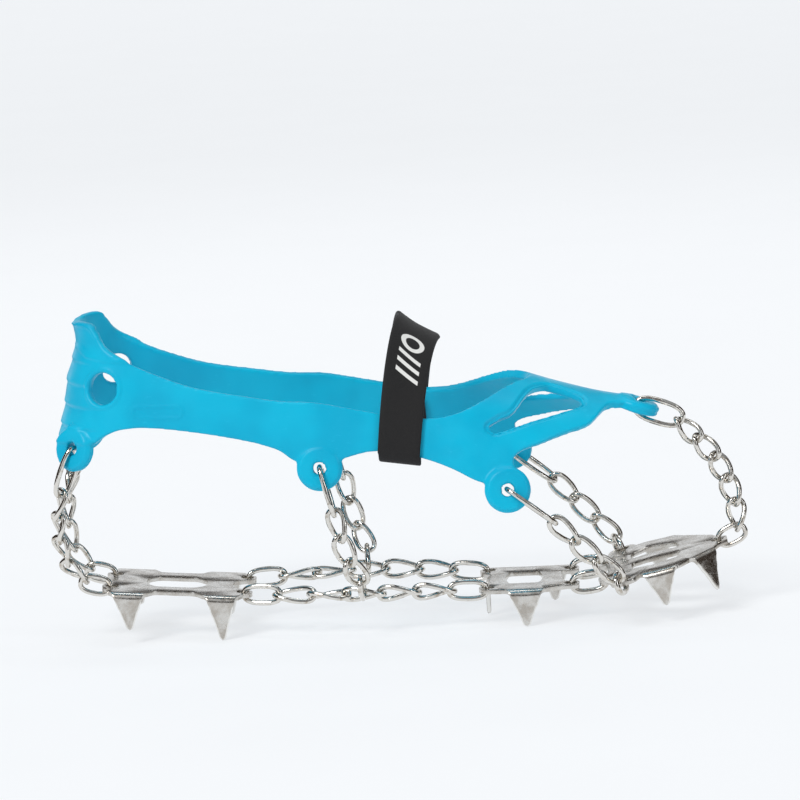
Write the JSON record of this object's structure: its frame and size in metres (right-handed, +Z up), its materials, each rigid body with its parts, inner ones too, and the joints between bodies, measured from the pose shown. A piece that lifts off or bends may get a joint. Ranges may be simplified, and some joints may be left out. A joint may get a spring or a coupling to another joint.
{
  "type": "chain crampon",
  "caption": "Worn-shape chain crampon: elastomer boot harness, hanging link chains, spiked steel plates and an instep strap.",
  "frame": {"origin": "middle of the bounding box in plan, on the ground under the spikes", "axes": "+X to the toe, +Y to the left side of the boot, +Z up"},
  "size_m": [0.3202, 0.1128, 0.1477],
  "materials": {
    "harness_elastomer": "satin moulded thermoplastic elastomer",
    "plate_steel": "stamped and tumbled stainless steel",
    "chain_steel": "polished stainless wire",
    "strap_black": "matte woven webbing"
  },
  "bodies": {
    "frame_set": {"harness": "harness_elastomer", "heel_plate": "plate_steel", "middle_plate": "plate_steel", "front_plate": "plate_steel", "underfoot_right_link_4": "chain_steel", "underfoot_left_link_4": "chain_steel"},
    "instep_strap": {"instep_strap": "strap_black"},
    "rear_right_long_link": {"rear_right_long_link": "chain_steel"},
    "rear_right_link_1": {"rear_right_link_1": "chain_steel"},
    "rear_right_link_2": {"rear_right_link_2": "chain_steel"},
    "rear_right_link_3": {"rear_right_link_3": "chain_steel"},
    "rear_right_link_4": {"rear_right_link_4": "chain_steel"},
    "rear_right_link_5": {"rear_right_link_5": "chain_steel"},
    "rear_left_long_link": {"rear_left_long_link": "chain_steel"},
    "rear_left_link_1": {"rear_left_link_1": "chain_steel"},
    "rear_left_link_2": {"rear_left_link_2": "chain_steel"},
    "rear_left_link_3": {"rear_left_link_3": "chain_steel"},
    "rear_left_link_4": {"rear_left_link_4": "chain_steel"},
    "rear_left_link_5": {"rear_left_link_5": "chain_steel"},
    "mid_right_long_link": {"mid_right_long_link": "chain_steel"},
    "mid_right_link_1": {"mid_right_link_1": "chain_steel"},
    "mid_right_link_2": {"mid_right_link_2": "chain_steel"},
    "mid_right_link_3": {"mid_right_link_3": "chain_steel"},
    "mid_right_link_4": {"mid_right_link_4": "chain_steel"},
    "mid_left_long_link": {"mid_left_long_link": "chain_steel"},
    "mid_left_link_1": {"mid_left_link_1": "chain_steel"},
    "mid_left_link_2": {"mid_left_link_2": "chain_steel"},
    "mid_left_link_3": {"mid_left_link_3": "chain_steel"},
    "mid_left_link_4": {"mid_left_link_4": "chain_steel"},
    "fore_right_long_link": {"fore_right_long_link": "chain_steel"},
    "fore_right_link_1": {"fore_right_link_1": "chain_steel"},
    "fore_right_link_2": {"fore_right_link_2": "chain_steel"},
    "fore_right_link_3": {"fore_right_link_3": "chain_steel"},
    "fore_right_ring": {"fore_right_ring": "chain_steel"},
    "fore_left_long_link": {"fore_left_long_link": "chain_steel"},
    "fore_left_link_1": {"fore_left_link_1": "chain_steel"},
    "fore_left_link_2": {"fore_left_link_2": "chain_steel"},
    "fore_left_link_3": {"fore_left_link_3": "chain_steel"},
    "fore_left_ring": {"fore_left_ring": "chain_steel"},
    "toe_long_link": {"toe_long_link": "chain_steel"},
    "toe_link_1": {"toe_link_1": "chain_steel"},
    "toe_link_2": {"toe_link_2": "chain_steel"},
    "toe_link_3": {"toe_link_3": "chain_steel"},
    "toe_link_4": {"toe_link_4": "chain_steel"},
    "toe_link_5": {"toe_link_5": "chain_steel"},
    "toe_link_6": {"toe_link_6": "chain_steel"},
    "underfoot_right_link_1": {"underfoot_right_link_1": "chain_steel"},
    "underfoot_right_link_2": {"underfoot_right_link_2": "chain_steel"},
    "underfoot_right_link_3": {"underfoot_right_link_3": "chain_steel"},
    "underfoot_right_link_5": {"underfoot_right_link_5": "chain_steel"},
    "underfoot_right_link_6": {"underfoot_right_link_6": "chain_steel"},
    "underfoot_right_link_7": {"underfoot_right_link_7": "chain_steel"},
    "connecting_ring_right": {"connecting_ring_right": "chain_steel"},
    "underfoot_left_link_1": {"underfoot_left_link_1": "chain_steel"},
    "underfoot_left_link_2": {"underfoot_left_link_2": "chain_steel"},
    "underfoot_left_link_3": {"underfoot_left_link_3": "chain_steel"},
    "underfoot_left_link_5": {"underfoot_left_link_5": "chain_steel"},
    "underfoot_left_link_6": {"underfoot_left_link_6": "chain_steel"},
    "underfoot_left_link_7": {"underfoot_left_link_7": "chain_steel"},
    "connecting_ring_left": {"connecting_ring_left": "chain_steel"}
  },
  "joints": [
    {"name": "strap_slide", "type": "slide", "parent": "frame_set", "child": "instep_strap", "axis": [0.9874, 0, -0.158], "range_m": [-0.002, 0.002]},
    {"name": "rear_right_swing", "type": "hinge", "parent": "frame_set", "child": "rear_right_long_link", "pos_m": [-0.14531, -0.02482, 0.09247], "axis": [0.1472, 0.1677, -0.9748], "range_deg": [-10, 10]},
    {"name": "rear_right_link_1_roll", "type": "hinge", "parent": "rear_right_long_link", "child": "rear_right_link_1", "pos_m": [-0.15426, -0.02222, 0.06581], "axis": [-0.2255, 0.204, -0.9527], "range_deg": [-10, 10]},
    {"name": "rear_right_link_2_roll", "type": "hinge", "parent": "rear_right_long_link", "child": "rear_right_link_2", "pos_m": [-0.15592, -0.01927, 0.05455], "axis": [-0.0122, 0.2195, -0.9755], "range_deg": [-10, 10]},
    {"name": "rear_right_link_3_roll", "type": "hinge", "parent": "rear_right_long_link", "child": "rear_right_link_3", "pos_m": [-0.15504, -0.01651, 0.04311], "axis": [0.2587, 0.1919, -0.9467], "range_deg": [-10, 10]},
    {"name": "rear_right_link_4_roll", "type": "hinge", "parent": "rear_right_long_link", "child": "rear_right_link_4", "pos_m": [-0.15045, -0.01406, 0.03262], "axis": [0.6723, 0.1642, -0.7219], "range_deg": [-10, 10]},
    {"name": "rear_right_link_5_roll", "type": "hinge", "parent": "rear_right_long_link", "child": "rear_right_link_5", "pos_m": [-0.14167, -0.01326, 0.02569], "axis": [0.9687, 0.0318, -0.2461], "range_deg": [-10, 10]},
    {"name": "rear_left_swing", "type": "hinge", "parent": "frame_set", "child": "rear_left_long_link", "pos_m": [-0.14531, 0.02482, 0.09247], "axis": [0.1472, -0.1677, -0.9748], "range_deg": [-10, 10]},
    {"name": "rear_left_link_1_roll", "type": "hinge", "parent": "rear_left_long_link", "child": "rear_left_link_1", "pos_m": [-0.15426, 0.02222, 0.06581], "axis": [-0.2255, -0.204, -0.9527], "range_deg": [-10, 10]},
    {"name": "rear_left_link_2_roll", "type": "hinge", "parent": "rear_left_long_link", "child": "rear_left_link_2", "pos_m": [-0.15592, 0.01927, 0.05455], "axis": [-0.0122, -0.2195, -0.9755], "range_deg": [-10, 10]},
    {"name": "rear_left_link_3_roll", "type": "hinge", "parent": "rear_left_long_link", "child": "rear_left_link_3", "pos_m": [-0.15504, 0.01651, 0.04311], "axis": [0.2587, -0.1919, -0.9467], "range_deg": [-10, 10]},
    {"name": "rear_left_link_4_roll", "type": "hinge", "parent": "rear_left_long_link", "child": "rear_left_link_4", "pos_m": [-0.15045, 0.01406, 0.03262], "axis": [0.6723, -0.1642, -0.7219], "range_deg": [-10, 10]},
    {"name": "rear_left_link_5_roll", "type": "hinge", "parent": "rear_left_long_link", "child": "rear_left_link_5", "pos_m": [-0.14167, 0.01326, 0.02569], "axis": [0.9687, -0.0318, -0.2461], "range_deg": [-10, 10]},
    {"name": "mid_right_swing", "type": "hinge", "parent": "frame_set", "child": "mid_right_long_link", "pos_m": [-0.03332, -0.04195, 0.08148], "axis": [0.2392, 0.2289, -0.9436], "range_deg": [-10, 10]},
    {"name": "mid_right_link_1_roll", "type": "hinge", "parent": "mid_right_long_link", "child": "mid_right_link_1", "pos_m": [-0.02664, -0.04399, 0.05444], "axis": [0.2019, -0.0329, -0.9789], "range_deg": [-10, 10]},
    {"name": "mid_right_link_2_roll", "type": "hinge", "parent": "mid_right_long_link", "child": "mid_right_link_2", "pos_m": [-0.02404, -0.04298, 0.0424], "axis": [0.3036, 0.1748, -0.9366], "range_deg": [-10, 10]},
    {"name": "mid_right_link_3_roll", "type": "hinge", "parent": "mid_right_long_link", "child": "mid_right_link_3", "pos_m": [-0.01995, -0.03941, 0.03132], "axis": [0.4461, 0.4776, -0.7569], "range_deg": [-10, 10]},
    {"name": "mid_right_link_4_roll", "type": "hinge", "parent": "mid_right_long_link", "child": "mid_right_link_4", "pos_m": [-0.01782, -0.0323, 0.02254], "axis": [0.0656, 0.8115, -0.5807], "range_deg": [-10, 10]},
    {"name": "mid_left_swing", "type": "hinge", "parent": "frame_set", "child": "mid_left_long_link", "pos_m": [-0.03332, 0.04195, 0.08148], "axis": [0.2392, -0.2289, -0.9436], "range_deg": [-10, 10]},
    {"name": "mid_left_link_1_roll", "type": "hinge", "parent": "mid_left_long_link", "child": "mid_left_link_1", "pos_m": [-0.02664, 0.04399, 0.05444], "axis": [0.2019, 0.0329, -0.9789], "range_deg": [-10, 10]},
    {"name": "mid_left_link_2_roll", "type": "hinge", "parent": "mid_left_long_link", "child": "mid_left_link_2", "pos_m": [-0.02404, 0.04298, 0.0424], "axis": [0.3036, -0.1748, -0.9366], "range_deg": [-10, 10]},
    {"name": "mid_left_link_3_roll", "type": "hinge", "parent": "mid_left_long_link", "child": "mid_left_link_3", "pos_m": [-0.01995, 0.03941, 0.03132], "axis": [0.4461, -0.4776, -0.7569], "range_deg": [-10, 10]},
    {"name": "mid_left_link_4_roll", "type": "hinge", "parent": "mid_left_long_link", "child": "mid_left_link_4", "pos_m": [-0.01782, 0.0323, 0.02254], "axis": [0.0656, -0.8115, -0.5807], "range_deg": [-10, 10]},
    {"name": "fore_right_swing", "type": "hinge", "parent": "frame_set", "child": "fore_right_long_link", "pos_m": [0.05081, -0.04999, 0.06881], "axis": [0.7084, 0.2241, -0.6693], "range_deg": [-4, 4]},
    {"name": "fore_right_link_1_roll", "type": "hinge", "parent": "fore_right_long_link", "child": "fore_right_link_1", "pos_m": [0.07588, -0.05, 0.04829], "axis": [0.6916, 0.0281, -0.7218], "range_deg": [-4, 4]},
    {"name": "fore_right_link_2_roll", "type": "hinge", "parent": "fore_right_long_link", "child": "fore_right_link_2", "pos_m": [0.08515, -0.04873, 0.03842], "axis": [0.6991, 0.1436, -0.7004], "range_deg": [-4, 4]},
    {"name": "fore_right_link_3_roll", "type": "hinge", "parent": "fore_right_long_link", "child": "fore_right_link_3", "pos_m": [0.09458, -0.04632, 0.02886], "axis": [0.6991, 0.2171, -0.6813], "range_deg": [-4, 4]},
    {"name": "fore_right_ring_roll", "type": "hinge", "parent": "fore_right_long_link", "child": "fore_right_ring", "pos_m": [0.10015, -0.04066, 0.02113], "axis": [0.2698, 0.9569, -0.1077], "range_deg": [-4, 4]},
    {"name": "fore_left_swing", "type": "hinge", "parent": "frame_set", "child": "fore_left_long_link", "pos_m": [0.05081, 0.04999, 0.06881], "axis": [0.7084, -0.2241, -0.6693], "range_deg": [-4, 4]},
    {"name": "fore_left_link_1_roll", "type": "hinge", "parent": "fore_left_long_link", "child": "fore_left_link_1", "pos_m": [0.07588, 0.05, 0.04829], "axis": [0.6916, -0.0281, -0.7218], "range_deg": [-4, 4]},
    {"name": "fore_left_link_2_roll", "type": "hinge", "parent": "fore_left_long_link", "child": "fore_left_link_2", "pos_m": [0.08515, 0.04873, 0.03842], "axis": [0.6991, -0.1436, -0.7004], "range_deg": [-4, 4]},
    {"name": "fore_left_link_3_roll", "type": "hinge", "parent": "fore_left_long_link", "child": "fore_left_link_3", "pos_m": [0.09458, 0.04632, 0.02886], "axis": [0.6991, -0.2171, -0.6813], "range_deg": [-4, 4]},
    {"name": "fore_left_ring_roll", "type": "hinge", "parent": "fore_left_long_link", "child": "fore_left_ring", "pos_m": [0.10015, 0.04066, 0.02113], "axis": [0.2698, -0.9569, -0.1077], "range_deg": [-4, 4]},
    {"name": "toe_swing", "type": "hinge", "parent": "frame_set", "child": "toe_long_link", "pos_m": [0.11093, 0, 0.09557], "axis": [0.4762, 0, -0.8793], "range_deg": [-10, 10]},
    {"name": "toe_link_1_roll", "type": "hinge", "parent": "toe_long_link", "child": "toe_link_1", "pos_m": [0.13422, -0.00008, 0.0829], "axis": [0.7119, -0.0244, -0.7018], "range_deg": [-10, 10]},
    {"name": "toe_link_2_roll", "type": "hinge", "parent": "toe_long_link", "child": "toe_link_2", "pos_m": [0.14225, -0.00028, 0.07423], "axis": [0.663, -0.0244, -0.7483], "range_deg": [-10, 10]},
    {"name": "toe_link_3_roll", "type": "hinge", "parent": "toe_long_link", "child": "toe_link_3", "pos_m": [0.14861, 0.00004, 0.06442], "axis": [0.4457, -0.0245, -0.8949], "range_deg": [-10, 10]},
    {"name": "toe_link_4_roll", "type": "hinge", "parent": "toe_long_link", "child": "toe_link_4", "pos_m": [0.15289, 0.00022, 0.05348], "axis": [0.2583, -0.0243, -0.9658], "range_deg": [-10, 10]},
    {"name": "toe_link_5_roll", "type": "hinge", "parent": "toe_long_link", "child": "toe_link_5", "pos_m": [0.1549, 0.00033, 0.04192], "axis": [-0.0044, -0.0244, -0.9997], "range_deg": [-10, 10]},
    {"name": "toe_link_6_roll", "type": "hinge", "parent": "toe_long_link", "child": "toe_link_6", "pos_m": [0.15244, 0.00016, 0.03246], "axis": [-0.9095, -0.0249, -0.415], "range_deg": [-10, 10]},
    {"name": "underfoot_right_link_1_roll", "type": "hinge", "parent": "frame_set", "child": "underfoot_right_link_1", "pos_m": [-0.06463, -0.01843, 0.01863], "axis": [0.9731, -0.2302, -0.0058], "range_deg": [-9, 9]},
    {"name": "underfoot_right_link_2_roll", "type": "hinge", "parent": "frame_set", "child": "underfoot_right_link_2", "pos_m": [-0.04944, -0.02188, 0.01852], "axis": [0.9785, -0.2059, -0.007], "range_deg": [-9, 9]},
    {"name": "underfoot_right_link_3_roll", "type": "hinge", "parent": "frame_set", "child": "underfoot_right_link_3", "pos_m": [-0.03348, -0.02497, 0.01849], "axis": [0.9853, -0.1707, -0.0074], "range_deg": [-9, 9]},
    {"name": "underfoot_right_link_5_roll", "type": "hinge", "parent": "frame_set", "child": "underfoot_right_link_5", "pos_m": [-0.00126, -0.02557, 0.01815], "axis": [0.9897, 0.1392, -0.0326], "range_deg": [-9, 9]},
    {"name": "underfoot_right_link_6_roll", "type": "hinge", "parent": "frame_set", "child": "underfoot_right_link_6", "pos_m": [0.01475, -0.02308, 0.01751], "axis": [0.9854, 0.1612, -0.0538], "range_deg": [-9, 9]},
    {"name": "underfoot_right_link_7_roll", "type": "hinge", "parent": "frame_set", "child": "underfoot_right_link_7", "pos_m": [0.03006, -0.02049, 0.0166], "axis": [0.9831, 0.1697, -0.0681], "range_deg": [-9, 9]},
    {"name": "connecting_ring_right_roll", "type": "hinge", "parent": "frame_set", "child": "connecting_ring_right", "pos_m": [0.0858, -0.016, 0.01698], "axis": [0.9934, 0, 0.1144], "range_deg": [-10, 10]},
    {"name": "underfoot_left_link_1_roll", "type": "hinge", "parent": "frame_set", "child": "underfoot_left_link_1", "pos_m": [-0.06463, 0.01843, 0.01863], "axis": [0.9731, 0.2302, -0.0058], "range_deg": [-9, 9]},
    {"name": "underfoot_left_link_2_roll", "type": "hinge", "parent": "frame_set", "child": "underfoot_left_link_2", "pos_m": [-0.04944, 0.02188, 0.01852], "axis": [0.9785, 0.2059, -0.007], "range_deg": [-9, 9]},
    {"name": "underfoot_left_link_3_roll", "type": "hinge", "parent": "frame_set", "child": "underfoot_left_link_3", "pos_m": [-0.03348, 0.02497, 0.01849], "axis": [0.9853, 0.1707, -0.0074], "range_deg": [-9, 9]},
    {"name": "underfoot_left_link_5_roll", "type": "hinge", "parent": "frame_set", "child": "underfoot_left_link_5", "pos_m": [-0.00126, 0.02557, 0.01815], "axis": [0.9897, -0.1392, -0.0326], "range_deg": [-9, 9]},
    {"name": "underfoot_left_link_6_roll", "type": "hinge", "parent": "frame_set", "child": "underfoot_left_link_6", "pos_m": [0.01475, 0.02308, 0.01751], "axis": [0.9854, -0.1612, -0.0538], "range_deg": [-9, 9]},
    {"name": "underfoot_left_link_7_roll", "type": "hinge", "parent": "frame_set", "child": "underfoot_left_link_7", "pos_m": [0.03006, 0.02049, 0.0166], "axis": [0.9831, -0.1697, -0.0681], "range_deg": [-9, 9]},
    {"name": "connecting_ring_left_roll", "type": "hinge", "parent": "frame_set", "child": "connecting_ring_left", "pos_m": [0.0858, 0.016, 0.01698], "axis": [0.9934, 0, 0.1144], "range_deg": [-10, 10]}
  ],
  "couplings": [
    {"joint": "rear_right_link_1_roll", "follows": "rear_right_swing", "ratio": -0.2},
    {"joint": "rear_right_link_2_roll", "follows": "rear_right_swing", "ratio": -0.4},
    {"joint": "rear_right_link_3_roll", "follows": "rear_right_swing", "ratio": -0.6},
    {"joint": "rear_right_link_4_roll", "follows": "rear_right_swing", "ratio": -0.8},
    {"joint": "rear_right_link_5_roll", "follows": "rear_right_swing", "ratio": -1},
    {"joint": "rear_left_link_1_roll", "follows": "rear_left_swing", "ratio": -0.2},
    {"joint": "rear_left_link_2_roll", "follows": "rear_left_swing", "ratio": -0.4},
    {"joint": "rear_left_link_3_roll", "follows": "rear_left_swing", "ratio": -0.6},
    {"joint": "rear_left_link_4_roll", "follows": "rear_left_swing", "ratio": -0.8},
    {"joint": "rear_left_link_5_roll", "follows": "rear_left_swing", "ratio": -1},
    {"joint": "mid_right_link_1_roll", "follows": "mid_right_swing", "ratio": -0.25},
    {"joint": "mid_right_link_2_roll", "follows": "mid_right_swing", "ratio": -0.5},
    {"joint": "mid_right_link_3_roll", "follows": "mid_right_swing", "ratio": -0.75},
    {"joint": "mid_right_link_4_roll", "follows": "mid_right_swing", "ratio": -1},
    {"joint": "mid_left_link_1_roll", "follows": "mid_left_swing", "ratio": -0.25},
    {"joint": "mid_left_link_2_roll", "follows": "mid_left_swing", "ratio": -0.5},
    {"joint": "mid_left_link_3_roll", "follows": "mid_left_swing", "ratio": -0.75},
    {"joint": "mid_left_link_4_roll", "follows": "mid_left_swing", "ratio": -1},
    {"joint": "fore_right_link_1_roll", "follows": "fore_right_swing", "ratio": -0.25},
    {"joint": "fore_right_link_2_roll", "follows": "fore_right_swing", "ratio": -0.5},
    {"joint": "fore_right_link_3_roll", "follows": "fore_right_swing", "ratio": -0.75},
    {"joint": "fore_right_ring_roll", "follows": "fore_right_swing", "ratio": -1},
    {"joint": "fore_left_link_1_roll", "follows": "fore_left_swing", "ratio": -0.25},
    {"joint": "fore_left_link_2_roll", "follows": "fore_left_swing", "ratio": -0.5},
    {"joint": "fore_left_link_3_roll", "follows": "fore_left_swing", "ratio": -0.75},
    {"joint": "fore_left_ring_roll", "follows": "fore_left_swing", "ratio": -1},
    {"joint": "toe_link_1_roll", "follows": "toe_swing", "ratio": -0.1667},
    {"joint": "toe_link_2_roll", "follows": "toe_swing", "ratio": -0.3333},
    {"joint": "toe_link_3_roll", "follows": "toe_swing", "ratio": -0.5},
    {"joint": "toe_link_4_roll", "follows": "toe_swing", "ratio": -0.6667},
    {"joint": "toe_link_5_roll", "follows": "toe_swing", "ratio": -0.8333},
    {"joint": "toe_link_6_roll", "follows": "toe_swing", "ratio": -1},
    {"joint": "underfoot_right_link_1_roll", "follows": "underfoot_right_link_2_roll", "ratio": 0.5},
    {"joint": "underfoot_right_link_3_roll", "follows": "underfoot_right_link_2_roll", "ratio": 0.5},
    {"joint": "underfoot_right_link_5_roll", "follows": "underfoot_right_link_2_roll", "ratio": 0.5},
    {"joint": "underfoot_right_link_6_roll", "follows": "underfoot_right_link_2_roll", "ratio": 1},
    {"joint": "underfoot_right_link_7_roll", "follows": "underfoot_right_link_2_roll", "ratio": 0.5},
    {"joint": "underfoot_left_link_1_roll", "follows": "underfoot_left_link_2_roll", "ratio": 0.5},
    {"joint": "underfoot_left_link_3_roll", "follows": "underfoot_left_link_2_roll", "ratio": 0.5},
    {"joint": "underfoot_left_link_5_roll", "follows": "underfoot_left_link_2_roll", "ratio": 0.5},
    {"joint": "underfoot_left_link_6_roll", "follows": "underfoot_left_link_2_roll", "ratio": 1},
    {"joint": "underfoot_left_link_7_roll", "follows": "underfoot_left_link_2_roll", "ratio": 0.5}
  ]
}
